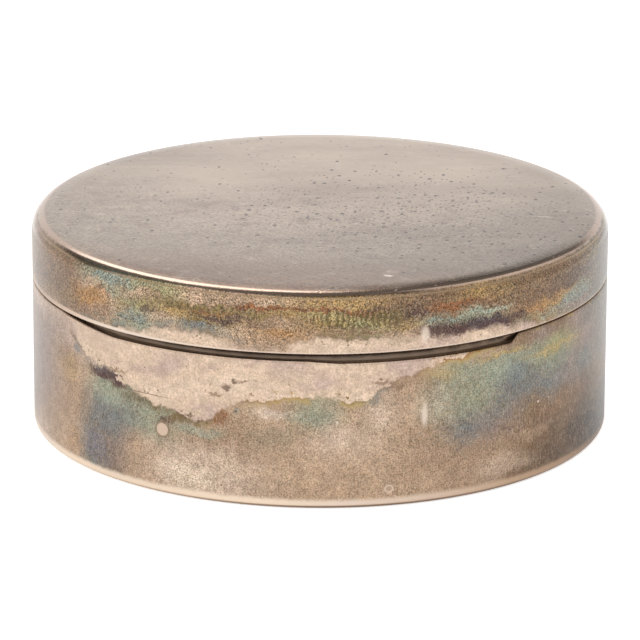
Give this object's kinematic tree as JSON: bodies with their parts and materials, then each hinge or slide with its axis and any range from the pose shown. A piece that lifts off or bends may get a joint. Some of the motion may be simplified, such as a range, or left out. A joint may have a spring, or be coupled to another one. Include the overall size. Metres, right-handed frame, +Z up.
{
  "type": "hinged pill box",
  "caption": "Round, flat-topped metal pill box with a lid hinged at the back, an inner collar that the lid slips over and a long shallow nail notch in the front rim.",
  "frame": {"origin": "centre of the flat underside, on the axis of the drum", "axes": "+Z up along the drum's axis, -Y towards the nail notch at the front, +Y towards the hinge at the back"},
  "size_m": [0.05, 0.0516, 0.0187],
  "materials": {
    "body_silver": "silver-plated brass, satin, with iridescent tarnish in patches and fine scratches",
    "lid_silver": "silver-plated brass, satin grey top with small pits, iridescent tarnish round the wall",
    "collar_silver": "silver-plated brass, turned, dulled brown",
    "hinge_silver": "silver-plated brass, filed and tarnished in the corners",
    "pin_wire": "drawn nickel-silver wire, peened at both ends"
  },
  "bodies": {
    "box": {"body_shell": "body_silver", "inner_collar": "collar_silver", "body_hinge_seat": "hinge_silver", "body_knuckle_left": "hinge_silver", "body_knuckle_centre": "hinge_silver", "body_knuckle_right": "hinge_silver", "hinge_pin": "pin_wire"},
    "lid": {"lid_shell": "lid_silver", "lid_hinge_seat": "hinge_silver", "lid_knuckle_left": "hinge_silver", "lid_knuckle_right": "hinge_silver"}
  },
  "joints": [
    {"name": "lid_hinge", "type": "hinge", "parent": "box", "child": "lid", "pos_m": [0, 0.0257, 0.01344], "axis": [-1, 0, 0], "range_deg": [0, 105]}
  ]
}
